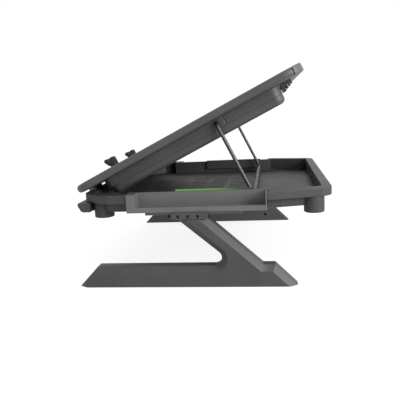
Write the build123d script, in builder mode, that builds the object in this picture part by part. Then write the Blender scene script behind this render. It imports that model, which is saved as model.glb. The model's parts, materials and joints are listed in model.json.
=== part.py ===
"""Laptop cooling pad: a tilting fan panel over a shallow base tray on two Z-shaped legs.

Axes: +X is the user's right, -Y is the front edge nearest the user, +Z is up.
The origin is on the desk, below the middle of the pad. Sizes are in millimetres.
"""
from build123d import *
from math import cos, radians, sin
import os

os.makedirs("parts", exist_ok=True)

# ---------------------------------------------------------------- driving dimensions
# Base tray
half_width = 187.0
front_y, rear_y = -146.0, 152.0
base_bottom, rim_top, rim_band = 89.5, 111.0, 10.5
floor_thick = 2.0
rim_width, wall_inset = 12.0, 10.0
bay_front, bay_rear = -87.0, 76.5
bay_wall_x = 165.5

# Legs
leg_outer_x, leg_thick, leg_top = 190.0, 20.0, 86.5
leg_front, leg_rear, foot_height = -152.0, 110.0, 24.8
leg_bevel, inner_bend = 7.0, 8.8
leg_screw_y = (-26.0, -14.5, -3.0)
leg_screw_z = 84.9
rail_screw_y = (-50.0, -18.0, 14.0, 40.0)
tie_hole_y = (-108.0, 68.0)
tie_hole_z = 11.4

# Tilting panel, measured from the hinge axis: u runs back along it, w up from it
hinge_y, hinge_z = -144.0, 112.0
rest_tilt = 26.0
hinge_notch_z = 107.5
plate_w0, plate_w1 = 1.5, 11.0
plate_u0, plate_u1 = -5.0, 296.0
plate_corner = 25.0
housing_half, housing_u0, housing_u1 = 147.0, 20.0, 264.0
housing_split_w, housing_bottom_w = -10.0, -20.0
shell = 2.5
seam_u = 190.0

# Prop bail
prop_u, prop_w, prop_length = 180.0, -2.7, 96.0
prop_x, wire_r, bush_r = 151.0, 2.25, 3.7
prop_rest_angle, prop_flat_angle = -90.2, -4.5

# Fans
fan_pitch, fan_u, fan_size = 94.0, 150.0, 90.0
fan_w0, fan_thick, fan_bore = -17.8, 14.0, 41.5

floor_top = base_bottom + floor_thick
band_bottom = rim_top - rim_band
panel = Plane(
    origin=(0, hinge_y, hinge_z),
    x_dir=(1, 0, 0),
    z_dir=(0, -sin(radians(rest_tilt)), cos(radians(rest_tilt))),
)
panel_up = Axis(panel.origin, panel.z_dir)


# ---------------------------------------------------------------- helpers
def save(piece, name):
    """Label a finished piece and write it as one STEP file."""
    piece.part.label = name
    export_step(piece.part, f"parts/{name}.step")


def save_pair(right_piece, name):
    """Write a right-hand piece and its mirror twin on the left."""
    save(right_piece, f"{name}_right")
    with BuildPart() as twin:
        mirror(right_piece.part, about=Plane.YZ)
    save(twin, f"{name}_left")


def base_outline(inset=0.0):
    """Return the tray's plan: straight sides, cut front corners, a tail that narrows."""
    side_x = half_width - 2
    with BuildSketch() as plan:
        with BuildLine():
            Polyline((-160, front_y), (160, front_y), (side_x, -112), (side_x, bay_rear),
                     (163, rear_y), (-163, rear_y), (-side_x, bay_rear), (-side_x, -112), close=True)
        make_face()
        fillet(plan.vertices().sort_by(Axis.Y)[:4], radius=14)
        fillet(plan.vertices().sort_by(Axis.Y)[-2:], radius=18)
        if inset:
            offset(amount=-inset, mode=Mode.REPLACE)
    return plan.sketch


def panel_point(u, w, tilt=rest_tilt):
    """Turn a place on the panel into the row's Y and Z."""
    a = radians(tilt)
    return hinge_y + u * cos(a) - w * sin(a), hinge_z + u * sin(a) + w * cos(a)


def prop_foot(tilt):
    """Where the foot of the prop stands, in Y and Z, when the panel is at this tilt."""
    share = 1 - tilt / rest_tilt
    angle = prop_rest_angle + share * (prop_flat_angle - prop_rest_angle) + tilt
    y, z = panel_point(prop_u, prop_w, tilt)
    return y + prop_length * cos(radians(angle)), z + prop_length * sin(radians(angle))


def box_between(low, high, mode=Mode.ADD):
    """Add a box from its lowest corner to its highest corner."""
    size = [b - a for a, b in zip(low, high)]
    with Locations(Location(tuple((a + b) / 2 for a, b in zip(low, high)))):
        Box(*size, mode=mode)


# ---------------------------------------------------------------- base
with BuildPart() as base_tray:
    with BuildSketch(Plane.XY.offset(band_bottom)):
        add(base_outline())
    extrude(amount=rim_band)
    with BuildSketch(Plane.XY.offset(floor_top)):
        add(base_outline(wall_inset))
    extrude(amount=band_bottom - floor_top)
    with BuildSketch(Plane.XY.offset(floor_top)):
        add(base_outline(rim_width))
        with Locations((bay_wall_x + 20, (bay_front + bay_rear) / 2),
                       (-bay_wall_x - 20, (bay_front + bay_rear) / 2)):
            Rectangle(44, bay_rear - bay_front + 4.4, mode=Mode.SUBTRACT)
    extrude(amount=rim_top - floor_top, mode=Mode.SUBTRACT)
    for side in (1, -1):
        low_x, high_x = sorted((side * bay_wall_x, side * (half_width + 5)))
        box_between((low_x, bay_front - 0.2, floor_top - 1), (high_x, bay_rear + 0.2, rim_top + 1),
                    Mode.SUBTRACT)
        low_x, high_x = sorted((side * 103, side * 137))
        box_between((low_x, front_y - 1, hinge_notch_z), (high_x, -138, rim_top + 1), Mode.SUBTRACT)
    rim_edges = base_tray.edges().filter_by_position(Axis.Z, rim_top - 0.01, rim_top + 0.01)
    outer_rim = [e for e in rim_edges if abs(e.center().Y) > 90 and (
        e.center().Y < front_y + 2 or e.center().Y > rear_y - 2)]
    fillet(outer_rim, radius=1.5)
save(base_tray, "base_tray")

with BuildPart() as base_bottom_cover:
    with BuildSketch(Plane.XY.offset(base_bottom)):
        add(base_outline(wall_inset))
        with Locations((bay_wall_x + 20, (bay_front + bay_rear) / 2),
                       (-bay_wall_x - 20, (bay_front + bay_rear) / 2)):
            Rectangle(40, bay_rear - bay_front + 0.4, mode=Mode.SUBTRACT)
        with GridLocations(16, 30, 12, 3):
            SlotOverall(24, 5, rotation=90, mode=Mode.SUBTRACT)
    extrude(amount=floor_thick)
    with Locations(*[(s * 158, y, base_bottom) for s in (1, -1) for y in rail_screw_y]):
        Hole(radius=1.6, depth=10)
save(base_bottom_cover, "base_bottom_cover")

# Open side bay: a recessed wall, a low floor and a lip, let into the side of the tray
with BuildPart() as side_bay:
    box_between((bay_wall_x + 0.2, bay_front, base_bottom), (half_width, bay_rear, rim_top))
    box_between((bay_wall_x + 2.2, bay_front + 9.5, base_bottom + 4), (half_width - 2.5, bay_rear - 1.5, 120),
                Mode.SUBTRACT)
    box_between((half_width - 3, bay_front + 9.5, 95.7), (half_width + 1, bay_rear - 1.5, 120), Mode.SUBTRACT)
    fillet(side_bay.edges().filter_by(Axis.Z).sort_by(Axis.X)[-2:], radius=0.7)
save_pair(side_bay, "side_bay")

for place, foot_x, foot_y in (("front", 158.0, -122.5), ("rear", 156.0, 131.0)):
    with BuildPart() as base_foot:
        with BuildSketch(Plane.XY.offset(81.0)):
            with Locations((foot_x, foot_y)):
                Circle(12)
        extrude(amount=band_bottom - 81.0)
        with BuildSketch(Plane.XY.offset(base_bottom)):
            add(base_outline(wall_inset))
        extrude(amount=20, mode=Mode.SUBTRACT)
        fillet(base_foot.faces().sort_by(Axis.Z)[0].edges(), radius=1.5)
    save_pair(base_foot, f"base_foot_{place}")

# Rail under the tray, with an outer ear that is screwed to the leg
ear_thick, ear_low = 2.5, 81.6
ear_front, ear_rear = -34.0, 8.5
with BuildPart() as mount_rail:
    box_between((150, -65, leg_top), (half_width - 0.5, 48, base_bottom))
    box_between((half_width - 1, ear_front, leg_top), (leg_outer_x, ear_rear, base_bottom))
    box_between((leg_outer_x - ear_thick, ear_front, ear_low), (leg_outer_x, ear_rear, base_bottom))
    fillet(mount_rail.edges().filter_by(Axis.X).group_by(Axis.Z)[0], radius=2)
    with Locations(*[(158, y, base_bottom) for y in rail_screw_y]):
        Hole(radius=1.6, depth=10)
    for y in leg_screw_y:
        with BuildSketch(Plane.YZ.offset(leg_outer_x)):
            with Locations((y, leg_screw_z)):
                Circle(1.4)
        extrude(amount=-ear_thick, mode=Mode.SUBTRACT)
        with BuildSketch(Plane.YZ.offset(leg_outer_x)):
            with Locations((y, leg_screw_z)):
                Circle(1.9)
        extrude(amount=-1.6, mode=Mode.SUBTRACT)
save_pair(mount_rail, "mount_rail")

with BuildPart() as rail_screws:
    for y in rail_screw_y:
        with BuildSketch(Plane.XY.offset(leg_top - 1.7)):
            with Locations((158, y)):
                Circle(3)
        extrude(amount=1.7)
        with BuildSketch(Plane.XY.offset(leg_top)):
            with Locations((158, y)):
                Circle(1.5)
        extrude(amount=4.8)
save_pair(rail_screws, "rail_screws")

# Z-shaped leg: flat foot, rising arm and a top ear, with a broad bevel on its outer face
with BuildPart() as stand_leg:
    with BuildSketch(Plane.YZ.offset(leg_outer_x - leg_thick)) as leg_side:
        with BuildLine():
            Polyline(
                (leg_front, 0), (leg_rear, 0), (84.3, foot_height + 0.6), (70.5, foot_height + 0.6),
                (2.8, leg_top), (-35, leg_top), (37.6, foot_height), (-128, foot_height),
                close=True,
            )
        make_face()
        inner_corner = leg_side.vertices().sort_by_distance((37.6, foot_height, 0))[0]
        fillet(inner_corner, radius=inner_bend)
    extrude(amount=leg_thick)
    outer_edges = stand_leg.faces().sort_by(Axis.X)[-1].edges()
    bevel_edges = outer_edges.filter_by(lambda e: 6 < e.center().Z < ear_low - 1 and e.length > 9)
    chamfer(bevel_edges, length=leg_bevel)
    box_between((leg_outer_x - ear_thick - 0.2, -45, ear_low - 0.3), (leg_outer_x + 1, 20, leg_top + 1),
                Mode.SUBTRACT)
    box_between((leg_outer_x - leg_thick - 1, ear_rear, ear_low - 0.3), (leg_outer_x + 1, 20, leg_top + 1),
                Mode.SUBTRACT)
    for y in leg_screw_y:
        with BuildSketch(Plane.YZ.offset(leg_outer_x)):
            with Locations((y, leg_screw_z)):
                Circle(1.3)
        extrude(amount=-14, mode=Mode.SUBTRACT)
    for y in tie_hole_y:
        with BuildSketch(Plane.YZ.offset(leg_outer_x - leg_thick)):
            with Locations((y, tie_hole_z)):
                Circle(2.1)
        extrude(amount=10, mode=Mode.SUBTRACT)
save_pair(stand_leg, "stand_leg")

with BuildPart() as leg_screws:
    for y in leg_screw_y:
        with BuildSketch(Plane.YZ.offset(leg_outer_x - 1.6)):
            with Locations((y, leg_screw_z)):
                Circle(1.8)
        extrude(amount=1.6)
        with BuildSketch(Plane.YZ.offset(leg_outer_x - 1.6)):
            with Locations((y, leg_screw_z)):
                Circle(1.25)
        extrude(amount=-12)
save_pair(leg_screws, "leg_screws")

# Lower front housing with the control board behind its buttons
control_half, control_end_x = 145.0, 172.0
with BuildPart() as control_housing:
    with BuildSketch(Plane.YZ.offset(-control_half)) as control_side:
        with BuildLine():
            Polyline((-136.2, base_bottom), (-136.2, 100.3), (-151.2, 100.3), (-151.8, 97),
                     (-146.5, 86), (-113, 86), (-103, base_bottom), close=True)
        make_face()
        fillet(control_side.vertices().sort_by_distance((-146.5, 86, 0))[0], radius=7)
    extrude(amount=2 * control_half)
    for end_plane in (Plane.YZ.offset(-control_end_x), Plane.YZ.offset(control_half)):
        with BuildSketch(end_plane) as control_end:
            with BuildLine():
                Polyline((-136.2, 89), (-136.2, 100.3), (-151.2, 100.3), (-151.8, 97), (-147.2, 89), close=True)
            make_face()
            fillet(control_end.vertices().sort_by_distance((-147.2, 89, 0))[0], radius=5)
        extrude(amount=control_end_x - control_half)
    box_between((-34, -146, 91), (34, -138.5, 98.5), Mode.SUBTRACT)
    for button_x in (-22, 0, 22):
        box_between((button_x - 5.4, -153, 92), (button_x + 5.4, -145, 97), Mode.SUBTRACT)
    box_between((-control_end_x - 1, -146.2, 90.3), (-control_end_x + 14.2, -138.2, 98.3), Mode.SUBTRACT)
    with BuildSketch(Plane.XY.offset(base_bottom)):
        add(base_outline(wall_inset))
    extrude(amount=20, mode=Mode.SUBTRACT)
save(control_housing, "control_housing")

with BuildPart() as control_board:
    box_between((-32, -142.5, 91.2), (32, -141, 98))
    for button_x in (-22, 0, 22):
        box_between((button_x - 2, -144.8, 93), (button_x + 2, -142.5, 96))
save(control_board, "control_board")

for button_name, button_x in (("slower_button", -22), ("faster_button", 0), ("light_button", 22)):
    with BuildPart() as push_button:
        box_between((button_x - 5, -151.6, 92.4), (button_x + 5, -146.2, 96.6))
        fillet(push_button.edges().filter_by(Axis.Y), radius=1.2)
    save(push_button, button_name)

with BuildPart() as power_port:
    box_between((-control_end_x, -146, 90.5), (-control_end_x + 14, -138.4, 98.1))
    with BuildSketch(Plane.YZ.offset(-control_end_x)):
        with Locations((-142.2, 94.3)):
            Circle(2.75)
    extrude(amount=9, mode=Mode.SUBTRACT)
save(power_port, "power_port")

with BuildPart() as light_bar:
    box_between((160, -32, 98), (163.1, 62, hinge_z + 0.8))
    fillet(light_bar.edges().filter_by(Axis.Y).group_by(Axis.Z)[-1], radius=0.8)
save_pair(light_bar, "light_bar")

# Notched rack that the prop's cross bar stands in
rack_steps = 24
with BuildPart() as prop_rack:
    with BuildSketch(Plane.YZ.offset(prop_x - 2.7)):
        with BuildLine():
            crest = [prop_foot(rest_tilt * (1 - i / rack_steps)) for i in range(rack_steps + 1)]
            top = Spline(*[(y, z - wire_r - 0.9) for y, z in crest])
            Polyline(top @ 1, ((top @ 1).X, floor_top), (54, floor_top), (54, (top @ 0).Y), top @ 0)
        make_face()
        for tilt in (rest_tilt, 21, 15, 8, 0):
            with Locations((prop_foot(tilt)[0], prop_foot(tilt)[1] - 1.5)):
                Circle(wire_r + 0.4, mode=Mode.SUBTRACT)
    extrude(amount=5.4)
save_pair(prop_rack, "prop_rack")

# Front hinges: a knuckle block on the tray, lugs on the panel and a steel pin through them
hinge_x, knuckle_r, pin_r = 120.0, 4.0, 2.0
with BuildPart() as hinge_block:
    box_between((hinge_x - 10, hinge_y - knuckle_r, hinge_notch_z), (hinge_x + 10, -138, hinge_z))
    with BuildSketch(Plane.YZ.offset(hinge_x - 10)):
        with Locations((hinge_y, hinge_z)):
            Circle(knuckle_r)
    extrude(amount=20)
    with BuildSketch(Plane.YZ.offset(hinge_x - 10)):
        with Locations((hinge_y, hinge_z)):
            Circle(pin_r + 0.05)
    extrude(amount=20, mode=Mode.SUBTRACT)
save_pair(hinge_block, "hinge_block")

with BuildPart() as hinge_pin:
    with BuildSketch(Plane.YZ.offset(hinge_x - 16)):
        with Locations((hinge_y, hinge_z)):
            Circle(pin_r)
    extrude(amount=32)
save_pair(hinge_pin, "hinge_pin")


# ---------------------------------------------------------------- tilting panel
def plate_outline():
    """Return the panel's rounded plan, drawn with the hinge axis along X at zero."""
    with BuildSketch() as plan:
        with Locations((0, (plate_u0 + plate_u1) / 2)):
            RectangleRounded(2 * half_width, plate_u1 - plate_u0, plate_corner)
    return plan.sketch


stop_x, stop_u, stop_w = 55.0, 18.0, 7.0
stop_half = 8.0
stop_outline = ((-3, 0), (-3, 6.5), (-8, 12.5), (-11, 18.5), (-9, 21), (-6.6, 21), (-3.4, 15.5),
                (-1.8, 20), (1.6, 20.8), (3, 19), (3, 0))
cap_u, cap_x = 284.0, 160.0

with BuildPart() as panel_frame:
    with BuildSketch(panel.offset(plate_w0)):
        add(plate_outline())
        for s in (1, -1):
            with Locations((s * (cap_x + 20), cap_u + 15)):
                Rectangle(40, 30, mode=Mode.SUBTRACT)
    extrude(amount=plate_w1 - plate_w0)
    nose = panel_frame.edges().filter_by(Axis.X).filter_by(
        lambda e: panel.to_local_coords(e.center()).Y < plate_u0 + 1)
    fillet(nose, radius=4.4)
    with BuildSketch(panel.offset(7.5)):
        with Locations((0, 156)):
            RectangleRounded(284, 212, 10)
    extrude(amount=10, mode=Mode.SUBTRACT)
    with BuildSketch(panel.offset(-1)):
        with Locations((0, 156)):
            RectangleRounded(274, 202, 8)
    extrude(amount=10, mode=Mode.SUBTRACT)
    for s in (1, -1):
        with BuildSketch(panel.offset(3.2)):
            with Locations((s * stop_x, 30.5)):
                Rectangle(2 * stop_half + 1.2, 35)
        extrude(amount=20, mode=Mode.SUBTRACT)
        for lug_x in (s * hinge_x - s * 13.3, s * hinge_x + s * 13.3):
            with BuildSketch(Plane.YZ.offset(lug_x - 2.7)):
                with Locations((hinge_y, hinge_z)):
                    Circle(knuckle_r)
            extrude(amount=5.4)
            with BuildSketch(Plane.YZ.offset(lug_x - 2.7)):
                with Locations((hinge_y, hinge_z)):
                    Circle(pin_r + 0.05)
            extrude(amount=5.4, mode=Mode.SUBTRACT)
        with BuildSketch(Plane.YZ.offset(s * hinge_x - 10.6)):
            with Locations((hinge_y, hinge_z)):
                Circle(knuckle_r + 0.6)
        extrude(amount=21.2, mode=Mode.SUBTRACT)
    with BuildSketch(Plane.YZ.offset(-stop_x - stop_half - 4)):
        with Locations(panel_point(stop_u, stop_w)):
            Circle(1.55)
    extrude(amount=2 * (stop_x + stop_half + 4), mode=Mode.SUBTRACT)
save(panel_frame, "panel_frame")

# Pale caps on the panel's rear corners
with BuildPart() as corner_cap:
    with BuildSketch(panel.offset(plate_w0)):
        add(plate_outline())
        with Locations((cap_x + 20, cap_u + 15)):
            Rectangle(39.8, 29.8, mode=Mode.INTERSECT)
    extrude(amount=plate_w1 - plate_w0)
save_pair(corner_cap, "corner_cap")

with BuildPart() as panel_mesh:
    with BuildSketch(panel.offset(7.5)):
        with Locations((0, 156)):
            RectangleRounded(283.4, 211.4, 9.7)
            with GridLocations(21, 12, 12, 16):
                SlotOverall(16, 5.5, mode=Mode.SUBTRACT)
    extrude(amount=1.5)
save(panel_mesh, "panel_mesh")

# Ribbed blocks under the plate's rear, which sit inside the tray when the panel is flat
bumper_x0, bumper_x1, bumper_u0, bumper_u1, bumper_w = 112.0, 134.0, 265.5, 280.0, -9.6
with BuildPart() as rear_bumper:
    with BuildSketch(Plane(panel.from_local_coords((bumper_x0, 0, 0)), panel.y_dir, (1, 0, 0))):
        with BuildLine():
            Polyline((bumper_u0, plate_w0), (bumper_u0, bumper_w), (bumper_u0 + 3, bumper_w),
                     (bumper_u1, bumper_w + 5.5), (bumper_u1, plate_w0), close=True)
        make_face()
        for rib_u in (271.0, 274.4, 277.8):
            with Locations((rib_u, bumper_w + 2.2)):
                Rectangle(1.2, 9, mode=Mode.SUBTRACT)
    extrude(amount=bumper_x1 - bumper_x0)
save_pair(rear_bumper, "rear_bumper")

housing_mid_u = (housing_u0 + housing_u1) / 2
housing_long = housing_u1 - housing_u0
with BuildPart() as panel_housing:
    with BuildSketch(panel.offset(housing_split_w)):
        with Locations((0, housing_mid_u)):
            RectangleRounded(2 * housing_half, housing_long, 12)
    extrude(amount=plate_w0 - housing_split_w)
    with BuildSketch(panel.offset(housing_split_w)):
        with Locations((0, housing_mid_u)):
            RectangleRounded(2 * (housing_half - shell), housing_long - 2 * shell, 9.5)
    extrude(amount=20, mode=Mode.SUBTRACT)
    with BuildSketch(Plane.YZ.offset(-housing_half - 1)):
        with Locations(panel_point(prop_u, prop_w)):
            Circle(bush_r + 0.1)
    extrude(amount=2 * housing_half + 2, mode=Mode.SUBTRACT)
    with BuildSketch(panel.offset(housing_split_w)):
        with Locations((housing_half, seam_u), (-housing_half, seam_u)):
            Rectangle(1.4, 1.2, mode=Mode.ADD)
    extrude(amount=plate_w0 - housing_split_w, mode=Mode.SUBTRACT)
save(panel_housing, "panel_housing")

with BuildPart() as panel_bottom_cover:
    with BuildSketch(panel.offset(housing_bottom_w)):
        with Locations((0, housing_mid_u + 2)):
            RectangleRounded(2 * housing_half - 3, housing_long - 4, 12)
    extrude(amount=housing_split_w - housing_bottom_w)
    fillet(panel_bottom_cover.faces().sort_by(panel_up)[0].edges(), radius=6)
    with BuildSketch(panel.offset(housing_bottom_w + 2.2)):
        with Locations((0, housing_mid_u + 2)):
            RectangleRounded(2 * housing_half - 3 - 2 * shell, housing_long - 4 - 2 * shell, 9.5)
    extrude(amount=20, mode=Mode.SUBTRACT)
    with BuildSketch(panel.offset(housing_bottom_w - 1)):
        for x in (-fan_pitch, 0, fan_pitch):
            for radius in (18, 26, 34):
                with Locations((x, fan_u)):
                    with PolarLocations(radius, 6):
                        SlotOverall(radius * 0.75, 5, rotation=90)
    extrude(amount=4, mode=Mode.SUBTRACT)
save(panel_bottom_cover, "panel_bottom_cover")


# Fans: a square frame with a spoked hub, a seven-blade rotor and a light ring on top
fan_places = (("left", -fan_pitch), ("middle", 0.0), ("right", fan_pitch))
for fan_name, fan_x in fan_places:
    with BuildPart() as fan_frame:
        with BuildSketch(panel.offset(fan_w0)):
            with Locations((fan_x, fan_u)):
                RectangleRounded(fan_size, fan_size, 5)
                Circle(fan_bore, mode=Mode.SUBTRACT)
                with GridLocations(82, 82, 2, 2):
                    Circle(2.2, mode=Mode.SUBTRACT)
        extrude(amount=fan_thick)
        with BuildSketch(panel.offset(fan_w0)):
            with Locations((fan_x, fan_u)):
                Circle(15)
                with PolarLocations(28, 4, start_angle=45):
                    Rectangle(29, 4)
        extrude(amount=1.8)
    save(fan_frame, f"fan_frame_{fan_name}")

    with BuildPart() as fan_rotor:
        with BuildSketch(panel.offset(fan_w0 + 2.4)):
            with Locations((fan_x, fan_u)):
                Circle(16)
        extrude(amount=10)
        hub_plane = Plane(panel.from_local_coords((fan_x, fan_u, fan_w0 + 7.4)), panel.x_dir, panel.z_dir)
        with Locations(hub_plane):
            with PolarLocations(27.5, 7):
                Box(25.5, 13.5, 1.6, rotation=(32, 0, 0))
        fillet(fan_rotor.faces().sort_by(panel_up)[-1].edges(), radius=1.2)
    save(fan_rotor, f"fan_rotor_{fan_name}")

    with BuildPart() as light_ring:
        with BuildSketch(panel.offset(fan_w0 + fan_thick)):
            with Locations((fan_x, fan_u)):
                Circle(44.5)
                Circle(fan_bore, mode=Mode.SUBTRACT)
        extrude(amount=2)
    save(light_ring, f"fan_light_ring_{fan_name}")

with BuildPart() as fan_screws:
    for fan_name, fan_x in fan_places:
        with BuildSketch(panel.offset(fan_w0)):
            with Locations((fan_x, fan_u)):
                with GridLocations(82, 82, 2, 2):
                    Circle(2.1)
        extrude(amount=fan_thick)
        with BuildSketch(panel.offset(fan_w0 + fan_thick)):
            with Locations((fan_x, fan_u)):
                with GridLocations(82, 82, 2, 2):
                    Circle(3.2)
        extrude(amount=1.4)
save(fan_screws, "fan_screws")


# ---------------------------------------------------------------- prop bail and its bushes
prop_y, prop_z = panel_point(prop_u, prop_w)
prop_down = radians(prop_rest_angle + rest_tilt)
bail_plane = Plane(
    origin=(0, prop_y, prop_z), x_dir=(1, 0, 0), z_dir=(0, -sin(prop_down), cos(prop_down)))
with BuildPart() as prop_bail:
    with BuildLine(bail_plane) as bail_path:
        FilletPolyline((prop_x - 12, 0), (prop_x, 0), (prop_x, prop_length),
                       (-prop_x, prop_length), (-prop_x, 0), (12 - prop_x, 0), radius=3.2)
    with BuildSketch(Plane(origin=bail_path.line @ 0, z_dir=bail_path.line % 0)):
        Circle(wire_r)
    sweep()
save(prop_bail, "prop_bail")

with BuildPart() as prop_bush:
    with BuildSketch(Plane.YZ.offset(prop_x - 8.5)):
        with Locations((prop_y, prop_z)):
            Circle(bush_r)
            Circle(wire_r + 0.07, mode=Mode.SUBTRACT)
    extrude(amount=5.2)
save_pair(prop_bush, "prop_bush")


# ---------------------------------------------------------------- flip-up laptop stops
stop_y, stop_z = panel_point(stop_u, stop_w)
with BuildPart() as laptop_stop:
    with BuildSketch(Plane(panel.from_local_coords((stop_x - stop_half, 0, 0)), panel.y_dir, (1, 0, 0))):
        with Locations((stop_u, stop_w)):
            Circle(3.2)
        with BuildLine():
            Polyline(*[(stop_u + u, stop_w + w) for u, w in stop_outline], close=True)
        make_face()
        with Locations((stop_u, stop_w)):
            Circle(1.55, mode=Mode.SUBTRACT)
    extrude(amount=2 * stop_half)
save_pair(laptop_stop, "laptop_stop")

with BuildPart() as stop_pin:
    with BuildSketch(Plane.YZ.offset(stop_x - stop_half - 3.5)):
        with Locations((stop_y, stop_z)):
            Circle(1.5)
    extrude(amount=2 * stop_half + 7)
save_pair(stop_pin, "stop_pin")
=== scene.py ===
# %% [markdown]
# # A tilting laptop cooling pad
# The pad is a shallow tray on two Z-shaped legs. A panel with three fans is hinged at its front edge,
# and a bent wire holds it up at a slope. The measured model comes first, as a fixed frame: it says where
# every part is, in metres. Each step below then gives one part its edges, its detail or its finish.

# %% Load the measured model
import json
from math import cos, pi, radians, sin

import bmesh
import bpy
from mathutils import Matrix, Vector


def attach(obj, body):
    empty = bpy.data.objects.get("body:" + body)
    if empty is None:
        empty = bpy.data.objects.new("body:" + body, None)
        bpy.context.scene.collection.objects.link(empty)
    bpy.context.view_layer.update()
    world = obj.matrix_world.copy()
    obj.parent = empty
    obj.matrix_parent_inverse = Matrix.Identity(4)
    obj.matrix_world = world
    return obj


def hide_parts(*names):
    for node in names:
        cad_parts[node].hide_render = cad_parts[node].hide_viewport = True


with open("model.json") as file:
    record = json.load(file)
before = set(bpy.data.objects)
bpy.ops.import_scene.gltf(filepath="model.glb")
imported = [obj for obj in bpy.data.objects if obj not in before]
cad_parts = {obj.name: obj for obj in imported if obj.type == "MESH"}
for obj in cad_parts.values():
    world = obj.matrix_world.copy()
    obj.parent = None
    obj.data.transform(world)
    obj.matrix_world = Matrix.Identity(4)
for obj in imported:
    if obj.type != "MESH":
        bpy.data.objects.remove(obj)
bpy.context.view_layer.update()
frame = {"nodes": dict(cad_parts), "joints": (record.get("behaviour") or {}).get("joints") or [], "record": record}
parts = frame["nodes"]
slot_of = {part["node"]: part["material_slot"] for part in frame["record"]["subparts"]}
body_of = {node: body for body, nodes in frame["record"]["behaviour"]["bodies"].items() for node in nodes}
MM = 0.001

# %% [markdown]
# ## Where the panel is
# The panel leans back at rest, and its tilt joint says how far: its range ends where the panel lies
# flat. A part of the panel is easiest to shape lying flat, so this step keeps one matrix that carries
# such a part to its place: x runs along the hinge, y back up the slope and z straight out of the top.

# %% The panel's own frame
tilt_joint = next(joint for joint in frame["joints"] if joint["name"] == "panel_tilt")
HINGE = Vector(tilt_joint["pos_m"])
LEAN = radians(-tilt_joint["range_deg"][0])
to_panel = Matrix.Translation(HINGE) @ Matrix.Rotation(LEAN, 4, "X")


def on_panel(x, back, up):
    """Give the matrix that puts a flat-lying part at this place on the panel, in millimetres."""
    return to_panel @ Matrix.Translation(Vector((x, back, up)) * MM)


FAN_X, FAN_BACK = {"left": -94, "middle": 0, "right": 94}, 150
panel_middle = on_panel(0, FAN_BACK, 11).translation
print("the panel leans by", round(LEAN * 180 / pi, 1), "degrees; its top middle is at",
      [round(c, 3) for c in panel_middle])

# %% [markdown]
# ## The camera
# The pad is seen from its right side, a little from above, so that the slope of the panel, the wire
# and the Z of the leg all read at once. A lens of about 49 mm keeps the far leg small.

# %% Set the camera
LENS_MM = 48.8
CAMERA_PLACE = (0.7925, 0.0843, 0.21015)
TURN_DEG, TIP_DEG, ROLL_DEG = 97.87, 80.10, -2.86
camera_data = bpy.data.cameras.new("side camera")
camera_data.lens = LENS_MM
camera = bpy.data.objects.new("side camera", camera_data)
camera.location = CAMERA_PLACE
turn = Matrix.Rotation(radians(TURN_DEG), 3, "Z")
tip = Matrix.Rotation(radians(TIP_DEG), 3, "X")
roll = Matrix.Rotation(radians(ROLL_DEG), 3, "Z")
camera.rotation_euler = (turn @ tip @ roll).to_euler()
bpy.context.scene.collection.objects.link(camera)
bpy.context.scene.camera = camera
bpy.context.scene.view_settings.view_transform = "Standard"
print("the camera stands at", tuple(round(c, 3) for c in camera.location))

# %% [markdown]
# ## Floor and light
# A dark object needs broad, soft light, or its edges vanish. One large panel of light stands beyond
# the pad's rear corner, so that the sides brighten towards the back, and a weaker one lifts the
# front. The floor is plain and pale. It glows a little by itself, so that shadows stay faint, and
# fades into the background far away.

# %% Lay the floor and hang the lights
def studio_light(name, place, size, power):
    """Hang a square soft light that faces the middle of the pad."""
    data = bpy.data.lights.new(name, "AREA")
    data.shape, data.size, data.energy = "SQUARE", size, power
    lamp = bpy.data.objects.new(name, data)
    lamp.location = place
    lamp.rotation_euler = (Vector((0, 0, 0.12)) - Vector(place)).to_track_quat("-Z", "Y").to_euler()
    bpy.context.scene.collection.objects.link(lamp)
    return lamp


studio_light("key light", (0.95, 1.45, 0.75), 0.9, 50)
studio_light("front fill", (-0.6, -1.8, 1.2), 1.2, 4)
studio_light("top light", (0.1, 0.5, 2.2), 1.4, 16)

world = bpy.data.worlds.new("pale studio")
world.use_nodes = True
world.node_tree.nodes["Background"].inputs["Color"].default_value = (1, 1, 1, 1)
world.node_tree.nodes["Background"].inputs["Strength"].default_value = 1.0
bpy.context.scene.world = world

shape = bmesh.new()
bmesh.ops.create_circle(shape, cap_ends=True, segments=96, radius=6)
floor_mesh = bpy.data.meshes.new("floor")
shape.to_mesh(floor_mesh)
shape.free()
floor = bpy.data.objects.new("floor", floor_mesh)
bpy.context.scene.collection.objects.link(floor)
paper = bpy.data.materials.new("pale paper")
paper.use_nodes = True
nodes, links = paper.node_tree.nodes, paper.node_tree.links
matte = nodes["Principled BSDF"]
matte.inputs["Base Color"].default_value = (0.94, 0.94, 0.94, 1)
matte.inputs["Roughness"].default_value = 0.9
matte.inputs["Specular IOR Level"].default_value = 0.1
lit = nodes.new("ShaderNodeEmission")
lit.inputs["Strength"].default_value = 1.02
spot = nodes.new("ShaderNodeTexCoord")
reach = nodes.new("ShaderNodeVectorMath")
reach.operation = "LENGTH"
fade = nodes.new("ShaderNodeMapRange")
fade.interpolation_type = "SMOOTHSTEP"
fade.inputs["From Min"].default_value = 0.35
fade.inputs["From Max"].default_value = 1.2
fade.inputs["To Min"].default_value = 0.80
blend_out = nodes.new("ShaderNodeMixShader")
links.new(spot.outputs["Object"], reach.inputs[0])
links.new(reach.outputs["Value"], fade.inputs["Value"])
links.new(fade.outputs["Result"], blend_out.inputs["Fac"])
links.new(matte.outputs["BSDF"], blend_out.inputs[1])
links.new(lit.outputs["Emission"], blend_out.inputs[2])
links.new(blend_out.outputs["Shader"], nodes["Material Output"].inputs["Surface"])
floor_mesh.materials.append(paper)

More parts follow.
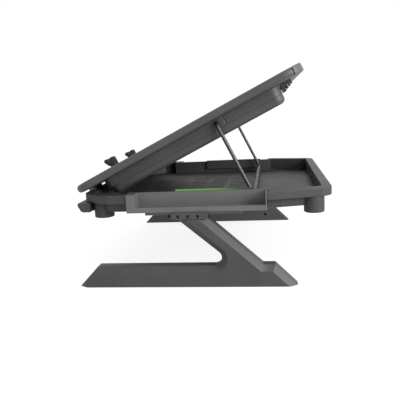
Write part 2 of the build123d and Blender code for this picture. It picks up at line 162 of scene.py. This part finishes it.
# %% [markdown]
# ## How a finish is built
# Every finish here starts the same way: a shader, a slow cloudiness that shifts the colour and the
# shine a little, and a fine grain that bumps the surface. Only the numbers differ, so one helper
# builds the shared part, and each finish adds what is special to it. Patterns read Object coordinates,
# which are metres here, so a scale of 1000 gives features about a millimetre across.

# %% The shared start of each finish
def start_finish(name, colour, roughness, cloud_scale=22.0, cloud_depth=0.10):
    """Return a material whose colour and shine drift slowly over the surface."""
    made = bpy.data.materials.new(name)
    made.use_nodes = True
    nodes, links = made.node_tree.nodes, made.node_tree.links
    shader = nodes["Principled BSDF"]
    place = nodes.new("ShaderNodeTexCoord")
    place.name = "place"
    cloud = nodes.new("ShaderNodeTexNoise")
    cloud.name = "cloud"
    cloud.inputs["Scale"].default_value = cloud_scale
    cloud.inputs["Detail"].default_value = 5.0
    links.new(place.outputs["Object"], cloud.inputs["Vector"])
    tint = nodes.new("ShaderNodeValToRGB")
    tint.name = "tint"
    low, high = tint.color_ramp.elements
    low.position, high.position = 0.3, 0.7
    low.color = (*[c * (1 - cloud_depth) for c in colour], 1)
    high.color = (*[c * (1 + cloud_depth) for c in colour], 1)
    links.new(cloud.outputs["Fac"], tint.inputs["Fac"])
    links.new(tint.outputs["Color"], shader.inputs["Base Color"])
    shine = nodes.new("ShaderNodeMapRange")
    shine.inputs["From Min"].default_value = 0.3
    shine.inputs["From Max"].default_value = 0.7
    shine.inputs["To Min"].default_value = roughness - 0.05
    shine.inputs["To Max"].default_value = roughness + 0.05
    links.new(cloud.outputs["Fac"], shine.inputs["Value"])
    links.new(shine.outputs["Result"], shader.inputs["Roughness"])
    return made


def add_grain(made, scale, depth_mm, strength=0.5, stretch=(1, 1, 1)):
    """Bump the surface with a fine noise, drawn out along an axis where stretch is below one."""
    nodes, links = made.node_tree.nodes, made.node_tree.links
    spread = nodes.new("ShaderNodeMapping")
    spread.inputs["Scale"].default_value = stretch
    grain = nodes.new("ShaderNodeTexNoise")
    grain.inputs["Scale"].default_value = scale
    grain.inputs["Detail"].default_value = 3.0
    bump = nodes.new("ShaderNodeBump")
    bump.inputs["Strength"].default_value = strength
    bump.inputs["Distance"].default_value = depth_mm * MM
    links.new(nodes["place"].outputs["Object"], spread.inputs["Vector"])
    links.new(spread.outputs["Vector"], grain.inputs["Vector"])
    links.new(grain.outputs["Fac"], bump.inputs["Height"])
    links.new(bump.outputs["Normal"], nodes["Principled BSDF"].inputs["Normal"])
    return made


def moulded_plastic(name, grey, roughness=0.48, shine=0.35):
    """A moulded case plastic: neutral grey, satin, with the spark-eroded grain of its mould."""
    made = start_finish(name, (grey, grey, grey * 1.02), roughness)
    made.node_tree.nodes["Principled BSDF"].inputs["Specular IOR Level"].default_value = shine
    return add_grain(made, 1100.0, 0.02, 0.08)


print("finish helpers ready")

# %% [markdown]
# ## Plastics and rubber
# The case parts are one dark grey plastic. Each moulding is given its own shade of it, a painted light
# and shade that stands in for how much light falls on that part. The side bays' walls are much paler,
# painted as lit walls, and the rear corner caps are a slightly paler grey, a painted highlight on their
# rounded corners. Rubber is darker and hardly shines, and its grain is coarser.

# %% Mix the plastics and rubbers
finishes = {
    # painted light and shade: each moulding's grey is set for how much light falls on it
    "base_plastic": moulded_plastic("base plastic", 0.031, 0.50, 0.28),
    "panel_plastic": moulded_plastic("panel plastic", 0.046, 0.50, 0.30),
    # painted light: the bay walls are paler to stand in for light falling on them
    "bay_plastic": moulded_plastic("side bay plastic", 0.080, 0.42),
    "leg_plastic": moulded_plastic("leg plastic", 0.038, 0.50, 0.28),
    # painted highlight: the caps are paler to stand in for light on their rounded corners
    "cap_plastic": moulded_plastic("corner cap plastic", 0.062, 0.45, 0.3),
}
for name, grey, roughness in (("rubber", 0.030, 0.68), ("stop_rubber", 0.018, 0.62)):
    made = start_finish(name.replace("_", " "), (grey, grey, grey), roughness, 40.0, 0.16)
    made.node_tree.nodes["Principled BSDF"].inputs["Specular IOR Level"].default_value = 0.25
    finishes[name] = add_grain(made, 520.0, 0.12, 0.6)
made = start_finish("fan plastic", (0.022, 0.022, 0.024), 0.32, 30.0, 0.2)
finishes["fan_plastic"] = add_grain(made, 700.0, 0.03, 0.3)
print("plastics and rubbers:", sorted(finishes))

# %% [markdown]
# ## Metals
# The prop is drawn steel wire with a dark nickel plate: its faint lines run along the wire, so the
# grain is drawn out along its longest run. Pins are plain ground steel. Screws are blackened, and the
# mesh over the fans is powder coated, which leaves a fine orange-peel surface.

# %% Mix the metals
made = start_finish("nickelled wire", (0.052, 0.052, 0.053), 0.42, 90.0, 0.12)
made.node_tree.nodes["Principled BSDF"].inputs["Metallic"].default_value = 0.85
finishes["steel_wire"] = add_grain(made, 2200.0, 0.01, 0.08, (0.05, 1, 1))
made = start_finish("ground steel pin", (0.16, 0.16, 0.165), 0.36, 120.0, 0.10)
made.node_tree.nodes["Principled BSDF"].inputs["Metallic"].default_value = 1.0
finishes["pin_steel"] = add_grain(made, 2400.0, 0.01, 0.3, (0.05, 1, 1))
made = start_finish("black oxide steel", (0.014, 0.014, 0.015), 0.45, 260.0, 0.3)
made.node_tree.nodes["Principled BSDF"].inputs["Metallic"].default_value = 0.6
finishes["screw_steel"] = add_grain(made, 1800.0, 0.015, 0.3)
made = start_finish("powder coated mesh", (0.030, 0.030, 0.031), 0.5, 60.0, 0.2)
finishes["mesh_metal"] = add_grain(made, 1300.0, 0.03, 0.6)
print("metals:", [name for name in finishes if "steel" in name or "metal" in name])

# %% [markdown]
# ## Circuit board and lit plastic
# The board is green solder mask over faint copper tracks. The light bars and the rings round the fans
# are milky plastic lit from inside. A bar's glow is painted light that stands in for green light from
# the fans falling into the tray: it shines from faces that point outwards only, over its side bay, and
# it fades from the front towards the rear. Which way a face points comes from its own normal, so the
# effect stays with the piece from every side.

# %% Mix the board and the lit plastic
made = start_finish("solder mask", (0.02, 0.13, 0.045), 0.30, 60.0, 0.25)
finishes["board_green"] = add_grain(made, 380.0, 0.05, 0.5, (1, 0.08, 1))

def milky_diffuser(name, strength):
    """Milky green plastic, lit from inside; returns the material and its shader."""
    made = start_finish(name, (0.045, 0.075, 0.035), 0.45, 80.0, 0.15)
    add_grain(made, 800.0, 0.02, 0.3)
    shader = made.node_tree.nodes["Principled BSDF"]
    shader.inputs["Emission Color"].default_value = (0.155, 0.50, 0.055, 1)
    shader.inputs["Emission Strength"].default_value = strength
    return made, shader


ring, shader = milky_diffuser("fan ring diffuser", 0.25)
finishes["ring_diffuser"] = ring

# painted glow: the bar stands in for green fan light falling into the tray
bar, shader = milky_diffuser("side bar painted glow", 0.0)
for step in bar.node_tree.nodes["tint"].color_ramp.elements:
    step.color = (0.022, 0.026, 0.021, 1)
nodes, links = bar.node_tree.nodes, bar.node_tree.links
# painted glow: only faces that point outwards, away from the middle, shine
split = nodes.new("ShaderNodeSeparateXYZ")
links.new(nodes["place"].outputs["Object"], split.inputs["Vector"])
facing = nodes.new("ShaderNodeSeparateXYZ")
links.new(nodes["place"].outputs["Normal"], facing.inputs["Vector"])
outwards = nodes.new("ShaderNodeMath")
outwards.operation = "MULTIPLY"
links.new(split.outputs["X"], outwards.inputs[0])
links.new(facing.outputs["X"], outwards.inputs[1])
window = nodes.new("ShaderNodeMapRange")
window.inputs["From Min"].default_value = 0.02
window.inputs["From Max"].default_value = 0.14
links.new(outwards.outputs["Value"], window.inputs["Value"])
# painted glow: the glow fades from the front of the bar towards its rear
painted_glow_fade = nodes.new("ShaderNodeMapRange")
painted_glow_fade.interpolation_type = "SMOOTHSTEP"
painted_glow_fade.inputs["From Min"].default_value = 0.004
painted_glow_fade.inputs["From Max"].default_value = 0.056
painted_glow_fade.inputs["To Min"].default_value = 0.62
painted_glow_fade.inputs["To Max"].default_value = 0.04
links.new(split.outputs["Y"], painted_glow_fade.inputs["Value"])
glow = nodes.new("ShaderNodeMath")
glow.operation = "MULTIPLY"
links.new(window.outputs["Result"], glow.inputs[0])
links.new(painted_glow_fade.outputs["Result"], glow.inputs[1])
links.new(glow.outputs["Value"], shader.inputs["Emission Strength"])
finishes["light_diffuser"] = bar
print("all finishes:", len(finishes))

# %% [markdown]
# ## Finish every measured part
# The measured parts keep their shape. Each gets the finish of its own material slot, so nothing is
# left plain, and a part that later gets eased edges passes the same finish on.

# %% Put a finish on every part
for name, part in parts.items():
    part.data.materials.clear()
    part.data.materials.append(finishes[slot_of[name]])
print("finished", len(parts), "parts in", len(set(slot_of.values())), "finishes")

# %% [markdown]
# ## Eased edges
# No moulded edge is truly sharp: a radius of a few tenths of a millimetre catches the light as a thin
# line, and that line is what makes a dark case readable. The measured shells have sharp edges, so each
# is copied, its loose triangles are merged and its flat faces rejoined, and a bevel modifier rounds
# every edge sharper than 30 degrees. Weighted normals then keep the flats flat. A shader that fakes
# rounded edges would leave the mesh itself sharp.

# %% Round the edges of the shells
def add_piece(name, mesh, node, *more_nodes):
    """Show a new mesh in place of measured parts, on the body and with the finish of the first one."""
    made = bpy.data.objects.new(name, mesh)
    bpy.context.scene.collection.objects.link(made)
    mesh.materials.clear()
    mesh.materials.append(finishes[slot_of[node]])
    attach(made, body_of[node])
    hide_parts(node, *more_nodes)
    return made


def ease(node, width_mm):
    """Replace a measured shell by a copy whose edges are rounded by this width."""
    shape = bmesh.new()
    shape.from_mesh(parts[node].data)
    bmesh.ops.remove_doubles(shape, verts=shape.verts, dist=0.004 * MM)
    bmesh.ops.dissolve_limit(shape, angle_limit=radians(0.6), verts=shape.verts, edges=shape.edges)
    for face in shape.faces:
        face.smooth = True
    mesh = bpy.data.meshes.new(node + "_shell")
    shape.to_mesh(mesh)
    shape.free()
    old_normals = mesh.attributes.get("custom_normal")
    if old_normals:
        mesh.attributes.remove(old_normals)
    made = add_piece(node + "_shell", mesh, node)
    bevel = made.modifiers.new("eased edges", "BEVEL")
    bevel.width = width_mm * MM
    bevel.segments = 2
    bevel.limit_method = "ANGLE"
    bevel.angle_limit = radians(30)
    bevel.use_clamp_overlap = False
    bevel.harden_normals = False
    weighted = made.modifiers.new("flat flats", "WEIGHTED_NORMAL")
    weighted.keep_sharp = True
    return made


both = ("right", "left")
eased_widths = {"base_tray": 0.6, "base_bottom_cover": 0.3, "control_housing": 0.6, "panel_frame": 0.7,
                "panel_housing": 0.5, "panel_bottom_cover": 0.4, "slower_button": 0.3,
                "faster_button": 0.3, "light_button": 0.3, "power_port": 0.2}
for family, width in (("side_bay", 0.4), ("stand_leg", 0.8), ("mount_rail", 0.3), ("corner_cap", 1.2),
                      ("base_foot_front", 0.4), ("base_foot_rear", 0.4), ("prop_rack", 0.3),
                      ("hinge_block", 0.4), ("light_bar", 0.3), ("prop_bush", 0.3), ("rear_bumper", 0.25)):
    eased_widths.update({f"{family}_{side}": width for side in both})
for fan in FAN_X:
    eased_widths[f"fan_frame_{fan}"] = 0.3
shells = {node: ease(node, width) for node, width in eased_widths.items()}
print("eased", len(shells), "shells")

# %% [markdown]
# ## The honeycomb mesh
# A pressed steel mesh covers the fans: hexagonal holes 6 mm apart in a sheet about 1 mm thick, with a
# plain border that sits in the frame's recess. It could be a picture of holes on a flat sheet, but air
# passes through this one, and the fans show through it, so the holes are real. One hexagon is inset
# and its middle removed; the ring that is left is copied along a row, the row is copied up the sheet,
# and eight cuts trim it to the border.

# %% Press the honeycomb
def copy_along(shape, step, count):
    """Repeat everything in the shape count times, moved by one more step each time."""
    first = shape.verts[:] + shape.edges[:] + shape.faces[:]
    for number in range(1, count):
        new = bmesh.ops.duplicate(shape, geom=first)["geom"]
        moved = [g for g in new if isinstance(g, bmesh.types.BMVert)]
        bmesh.ops.translate(shape, verts=moved, vec=Vector(step) * number)


CELL, WEB = 6.0 * MM, 1.3 * MM
SHEET_X, SHEET_Y, SHEET_CORNER = 283.4 * MM, 211.4 * MM, 9.7 * MM
BORDER = 4.0 * MM
SHEET_BACK, HONEYCOMB_UP, BORDER_UP = 156, 8.8, 9.0
HONEYCOMB_THICK, BORDER_THICK = 1.1 * MM, 1.5 * MM
row_step = CELL * sin(pi / 3)
columns, rows = int(SHEET_X / CELL) + 2, int(SHEET_Y / row_step) + 2

shape = bmesh.new()
bmesh.ops.create_circle(shape, cap_ends=True, segments=6, radius=CELL / 2 / cos(pi / 6))
bmesh.ops.inset_individual(shape, faces=shape.faces[:], thickness=WEB / 2, use_even_offset=True)
hole = [face for face in shape.faces if len(face.verts) == 6]
bmesh.ops.delete(shape, geom=hole, context="FACES_ONLY")
copy_along(shape, (CELL, 0, 0), columns)
second_row = bmesh.ops.duplicate(shape, geom=shape.verts[:] + shape.edges[:] + shape.faces[:])["geom"]
bmesh.ops.translate(shape, verts=[g for g in second_row if isinstance(g, bmesh.types.BMVert)],
                    vec=(CELL / 2, row_step, 0))
copy_along(shape, (0, 2 * row_step, 0), (rows + 1) // 2)
bmesh.ops.remove_doubles(shape, verts=shape.verts, dist=0.02 * MM)
bmesh.ops.translate(shape, verts=shape.verts,
                    vec=(-CELL * (columns - 0.5) / 2, -row_step * (rows - 1) / 2, 0))
inner_x, inner_y = SHEET_X / 2 - BORDER / 2, SHEET_Y / 2 - BORDER / 2
cuts = [(Vector((sx, 0, 0)), inner_x) for sx in (1, -1)] + [(Vector((0, sy, 0)), inner_y) for sy in (1, -1)]
diagonal = (inner_x + inner_y - 3.0 * MM) / 2 ** 0.5
cuts += [(Vector((sx, sy, 0)).normalized(), diagonal) for sx in (1, -1) for sy in (1, -1)]
for outwards, reach_out in cuts:
    bmesh.ops.bisect_plane(shape, geom=shape.verts[:] + shape.edges[:] + shape.faces[:],
                           plane_co=outwards * reach_out, plane_no=outwards, clear_outer=True)
bmesh.ops.recalc_face_normals(shape, faces=shape.faces)
if shape.faces[:][0].normal.z < 0:
    bmesh.ops.reverse_faces(shape, faces=shape.faces)
mesh = bpy.data.meshes.new("panel_honeycomb")
shape.to_mesh(mesh)
shape.free()
mesh.transform(on_panel(0, SHEET_BACK, HONEYCOMB_UP))
honeycomb = add_piece("panel_honeycomb", mesh, "panel_mesh")
thick = honeycomb.modifiers.new("sheet thickness", "SOLIDIFY")
thick.thickness, thick.offset = HONEYCOMB_THICK, -1.0

shape = bmesh.new()
corners = bmesh.ops.create_grid(shape, x_segments=1, y_segments=1, size=0.5)["verts"]
bmesh.ops.scale(shape, verts=corners, vec=(SHEET_X, SHEET_Y, 1))
bmesh.ops.bevel(shape, geom=shape.verts[:], offset=SHEET_CORNER, affect="VERTICES", segments=8, profile=0.5,
                material=-1, offset_type="OFFSET")
bmesh.ops.inset_region(shape, faces=shape.faces[:], thickness=BORDER, use_boundary=True,
                       use_even_offset=True)
middle = max(shape.faces, key=lambda face: face.calc_area())
bmesh.ops.delete(shape, geom=[middle], context="FACES_ONLY")
mesh = bpy.data.meshes.new("panel_mesh_border")
shape.to_mesh(mesh)
shape.free()
print("border:", len(mesh.polygons), "faces")
mesh.transform(on_panel(0, SHEET_BACK, BORDER_UP))
border = add_piece("panel_mesh_border", mesh, "panel_mesh")
thick = border.modifiers.new("sheet thickness", "SOLIDIFY")
thick.thickness, thick.offset = BORDER_THICK, -1.0
print("honeycomb of", columns, "by", rows, "cells")

# %% [markdown]
# ## Turned parts
# Anything round is quickest to make as a turner would: draw half of its outline, and spin that line
# about the axis. The first and last columns meet and are merged, the doubled points at the axis are
# closed, and the normals are made to face outwards.

# %% The lathe
def turned(outline_mm, steps=40):
    """Spin an outline of (radius, height) points round z and return the closed shape."""
    shape = bmesh.new()
    points = [shape.verts.new((radius * MM, 0, height * MM)) for radius, height in outline_mm]
    lines = [shape.edges.new(pair) for pair in zip(points, points[1:])]
    bmesh.ops.spin(shape, geom=points + lines, cent=(0, 0, 0), axis=(0, 0, 1), angle=2 * pi, steps=steps,
                   use_merge=True)
    bmesh.ops.remove_doubles(shape, verts=shape.verts, dist=0.003 * MM)
    bmesh.ops.recalc_face_normals(shape, faces=shape.faces)
    return shape


def smooth_by_angle(shape, limit=radians(35)):
    """Smooth the gentle edges and leave the sharp ones crisp."""
    for face in shape.faces:
        face.smooth = True
    for edge in shape.edges:
        edge.smooth = len(edge.link_faces) == 2 and edge.calc_face_angle(0) < limit


print("the lathe is ready")

# %% [markdown]
# ## Fan rotors
# Each rotor is one moulding: a hub cap with a shallow dish, and seven thin blades. A real blade is not
# a flat paddle. It is wide and swept, and it twists, steep at the hub and flatter at the tip, because
# the tip moves faster. A grid is wrapped into a sector of a ring, lifted along its chord by the local
# slope, given a thickness, and copied round the hub. The tips stay inside the frame's bore.

# %% Mould a rotor
HUB_R, TIP_R, BLADES = 15.0, 40.0, 7
ROTOR_UP = -10.4


def blade_onto(shape):
    """Add one swept and twisted blade that starts inside the hub."""
    points = bmesh.ops.create_grid(shape, x_segments=12, y_segments=6, size=0.5)["verts"]
    for point in points:
        along, across = point.co.x + 0.5, point.co.y
        radius = HUB_R + along * (TIP_R - HUB_R)
        chord = across * (15.5 + 8.0 * along)
        pitch = radians(38 - 15 * along)
        angle = chord / radius + radians(20) * along ** 1.4
        height = -chord * sin(pitch) * 0.78 + 0.9 * (1 - (2 * across) ** 2)
        point.co = Vector((radius * cos(angle), radius * sin(angle), height)) * MM
    faces = list({face for point in points for face in point.link_faces})
    bmesh.ops.recalc_face_normals(shape, faces=faces)
    bmesh.ops.solidify(shape, geom=faces, thickness=1.1 * MM)


def rotor_mesh(name):
    """Return a rotor at the origin, its axis along z."""
    shape = bmesh.new()
    blade_onto(shape)
    blade = shape.verts[:] + shape.edges[:] + shape.faces[:]
    bmesh.ops.spin(shape, geom=blade, cent=(0, 0, 0), axis=(0, 0, 1), angle=2 * pi * (BLADES - 1) / BLADES,
                   steps=BLADES - 1, use_duplicate=True)
    bmesh.ops.recalc_face_normals(shape, faces=shape.faces)
    hub = turned([(0, -5), (15.2, -5), (16, -4.4), (16, 3.4), (15.6, 4.4), (14.6, 4.9), (10.5, 4.9),
                  (9.8, 4.4), (4.0, 4.2), (0, 4.2)])
    spare = bpy.data.meshes.new("hub")
    hub.to_mesh(spare)
    hub.free()
    shape.from_mesh(spare)
    bpy.data.meshes.remove(spare)
    smooth_by_angle(shape)
    mesh = bpy.data.meshes.new(name)
    shape.to_mesh(mesh)
    shape.free()
    return mesh


for fan, x in FAN_X.items():
    node = f"fan_rotor_{fan}"
    mesh = rotor_mesh(node + "_bladed")
    mesh.transform(on_panel(x, FAN_BACK, ROTOR_UP))
    add_piece(node + "_bladed", mesh, node)
print("each rotor has", len(mesh.polygons), "faces")

# %% [markdown]
# ## Screws
# All the screws are socket heads. A head is a circle and a hexagon, bridged into a flat ring; the
# hexagon's edges go down to make the socket and the circle's edges go down to make the skirt, and the
# rim gets a small bevel. The holes they sit in belong to the measured parts.

# %% Turn the screws
def screw_head(radius_mm, height_mm, socket_mm, depth_mm):
    """Return a socket head whose top is at z = 0."""
    shape = bmesh.new()
    bmesh.ops.create_circle(shape, segments=24, radius=radius_mm * MM)
    bmesh.ops.create_circle(shape, segments=6, radius=socket_mm * MM)
    bmesh.ops.bridge_loops(shape, edges=shape.edges[:])
    half_way = (radius_mm + socket_mm) / 2 * MM
    for outside, drop in ((True, height_mm), (False, depth_mm)):
        loop = [edge for edge in shape.edges if edge.is_boundary and edge.verts[0].co.z > -1e-9
                and (edge.verts[0].co.length > half_way) == outside]
        new = bmesh.ops.extrude_edge_only(shape, edges=loop)["geom"]
        bmesh.ops.translate(shape, verts=[g for g in new if isinstance(g, bmesh.types.BMVert)],
                            vec=(0, 0, -drop * MM))
    bmesh.ops.holes_fill(shape, edges=[edge for edge in shape.edges if edge.is_boundary], sides=0)
    bmesh.ops.recalc_face_normals(shape, faces=shape.faces)
    rim = [edge for edge in shape.edges if all(v.co.length > half_way and v.co.z > -1e-9 for v in edge.verts)]
    bmesh.ops.bevel(shape, geom=rim, offset=0.25 * radius_mm * MM, affect="EDGES", segments=3, profile=0.5,
                    material=-1)
    smooth_by_angle(shape, radians(40))
    return shape


def set_screws(name, node, head, places):
    """Put copies of one head at these places and show them as one piece."""
    single = bpy.data.meshes.new("one screw")
    head.to_mesh(single)
    head.free()
    shape = bmesh.new()
    for place in places:
        placed = single.copy()
        placed.transform(place)
        shape.from_mesh(placed)
        bpy.data.meshes.remove(placed)
    bpy.data.meshes.remove(single)
    mesh = bpy.data.meshes.new(name)
    shape.to_mesh(mesh)
    shape.free()
    return add_piece(name, mesh, node)


LEG_SCREW_Y, LEG_SCREW_Z = (-26.0, -14.5, -3.0), 84.9
LEG_SCREW_X = 189.7
RAIL_SCREW_X, RAIL_SCREW_Y, RAIL_SCREW_Z = 158, (-50.0, -18.0, 14.0, 40.0), 84.8
FAN_SCREW_OFF, FAN_SCREW_UP = 41, -2.4
for side, sign in (("right", 1), ("left", -1)):
    facing_out = Matrix.Rotation(sign * pi / 2, 4, "Y")
    set_screws(f"leg_screws_{side}_heads", f"leg_screws_{side}", screw_head(1.75, 1.5, 0.95, 1.0),
               [Matrix.Translation(Vector((sign * LEG_SCREW_X, y, LEG_SCREW_Z)) * MM) @ facing_out
                for y in LEG_SCREW_Y])
    facing_down = Matrix.Rotation(pi, 4, "X")
    set_screws(f"rail_screws_{side}_heads", f"rail_screws_{side}", screw_head(3.0, 1.7, 1.4, 1.1),
               [Matrix.Translation(Vector((sign * RAIL_SCREW_X, y, RAIL_SCREW_Z)) * MM) @ facing_down
                for y in RAIL_SCREW_Y])
set_screws("fan_screws_heads", "fan_screws", screw_head(3.15, 1.9, 1.4, 1.2),
           [on_panel(fan_x + dx, FAN_BACK + dy, FAN_SCREW_UP) for fan_x in FAN_X.values()
            for dx in (-FAN_SCREW_OFF, FAN_SCREW_OFF) for dy in (-FAN_SCREW_OFF, FAN_SCREW_OFF)])
print("screws set on both legs, both rails and the fans")

# %% [markdown]
# ## The wire prop
# The prop is one length of 4.5 mm wire, bent four times: two short ends that turn in the bushes, two
# long arms and a cross bar. A curve with a round bevel is exactly that, a line with a thickness. Its
# corners are true bends, so the line is rounded first by bevelling its corner points, and the tube is
# then made a mesh with closed ends.

# %% Bend the wire
PROP_BACK, PROP_UP, PROP_LONG = 180.0, -2.7, 96.0
PROP_X, PROP_END, WIRE_R, BEND_R = 151.0, 139.0, 2.25, 4.6
PROP_REST_DEG = -90.2
prop_pivot = on_panel(0, PROP_BACK, PROP_UP).translation
prop_place = Matrix.Translation(prop_pivot) @ Matrix.Rotation(LEAN + radians(PROP_REST_DEG), 4, "X")
shape = bmesh.new()
route = [(PROP_END, 0), (PROP_X, 0), (PROP_X, PROP_LONG), (-PROP_X, PROP_LONG), (-PROP_X, 0), (-PROP_END, 0)]
points = [shape.verts.new((x * MM, y * MM, 0)) for x, y in route]
for pair in zip(points, points[1:]):
    shape.edges.new(pair)
bmesh.ops.bevel(shape, geom=points[1:-1], offset=BEND_R * MM, affect="VERTICES", segments=8, profile=0.5,
                material=-1)
line = bpy.data.meshes.new("prop line")
shape.to_mesh(line)
shape.free()
line_object = bpy.data.objects.new("prop line", line)
bpy.context.scene.collection.objects.link(line_object)
for other in bpy.context.selected_objects:
    other.select_set(False)
bpy.context.view_layer.objects.active = line_object
line_object.select_set(True)
bpy.ops.object.convert(target="CURVE")
line_object.data.bevel_depth = WIRE_R * MM
line_object.data.bevel_resolution = 6
line_object.data.use_fill_caps = True
bpy.context.view_layer.update()
tube = bpy.data.meshes.new_from_object(line_object.evaluated_get(bpy.context.evaluated_depsgraph_get()))
bpy.data.objects.remove(line_object)
shape = bmesh.new()
shape.from_mesh(tube)
bmesh.ops.remove_doubles(shape, verts=shape.verts, dist=0.01 * MM)
bmesh.ops.recalc_face_normals(shape, faces=shape.faces)
smooth_by_angle(shape)
mesh = bpy.data.meshes.new("prop_bail_wire")
shape.to_mesh(mesh)
shape.free()
mesh.transform(prop_place)
add_piece("prop_bail_wire", mesh, "prop_bail")
print("the wire has", len(mesh.polygons), "faces")

# %% [markdown]
# ## The laptop stops
# Two stops flip up from the front edge to keep a laptop from sliding off. Each is a soft moulding that
# forks at its top, with a lip that leans forward, and upright ribs that grip. The ribs are slices of
# the full outline with gaps between them, standing on a slightly slimmer core.

# %% Shape the stops
STOP_X, STOP_BACK, STOP_UP, STOP_HALF = 55, 18.0, 7.0, 8.0
stop_outline = [(-3, -1.2), (-3, 6.5), (-8, 12.5), (-11, 18.5), (-9, 21), (-6.6, 21), (-3.4, 15.5),
                (-1.8, 20), (1.6, 20.8), (3, 19), (3, -1.2), (1.2, -3.1), (-1.2, -3.1)]


def stop_slice(shape, outline_mm, start_mm, width_mm, ease_mm):
    """Extrude the outline along x by this width, and ease its edges."""
    points = [shape.verts.new((start_mm * MM, y * MM, z * MM)) for y, z in outline_mm]
    face = shape.faces.new(points)
    new = bmesh.ops.extrude_face_region(shape, geom=[face])["geom"]
    moved = [g for g in new if isinstance(g, bmesh.types.BMVert)]
    bmesh.ops.translate(shape, verts=moved, vec=(width_mm * MM, 0, 0))
    every = list({f for v in points + moved for f in v.link_faces})
    bmesh.ops.recalc_face_normals(shape, faces=every)
    edges = list({e for f in every for e in f.edges})
    bmesh.ops.bevel(shape, geom=edges, offset=ease_mm * MM, affect="EDGES", segments=2, profile=0.5,
                    material=-1, clamp_overlap=True)


shape = bmesh.new()
RIBS, RIB_WIDE = 5, 2.3
pitch = (2 * STOP_HALF - RIB_WIDE) / (RIBS - 1)
for rib in range(RIBS):
    stop_slice(shape, stop_outline, -STOP_HALF + rib * pitch, RIB_WIDE, 0.5)
core = bmesh.new()
stop_slice(core, stop_outline, -STOP_HALF + 0.6, 2 * STOP_HALF - 1.2, 0.3)
centre = Vector((0, -2.0, 8)) * MM
bmesh.ops.scale(core, verts=core.verts, vec=(1, 0.86, 0.93), space=Matrix.Translation(-centre))
spare = bpy.data.meshes.new("stop core")
core.to_mesh(spare)
core.free()
shape.from_mesh(spare)
bpy.data.meshes.remove(spare)
smooth_by_angle(shape)
rib_mesh = bpy.data.meshes.new("stop ribs")
shape.to_mesh(rib_mesh)
shape.free()
for side, sign in (("right", 1), ("left", -1)):
    mesh = rib_mesh.copy()
    mesh.name = f"laptop_stop_{side}_ribbed"
    mesh.transform(on_panel(sign * STOP_X, STOP_BACK, STOP_UP))
    add_piece(f"laptop_stop_{side}_ribbed", mesh, f"laptop_stop_{side}")
bpy.data.meshes.remove(rib_mesh)
print("each stop has", len(mesh.polygons), "faces")
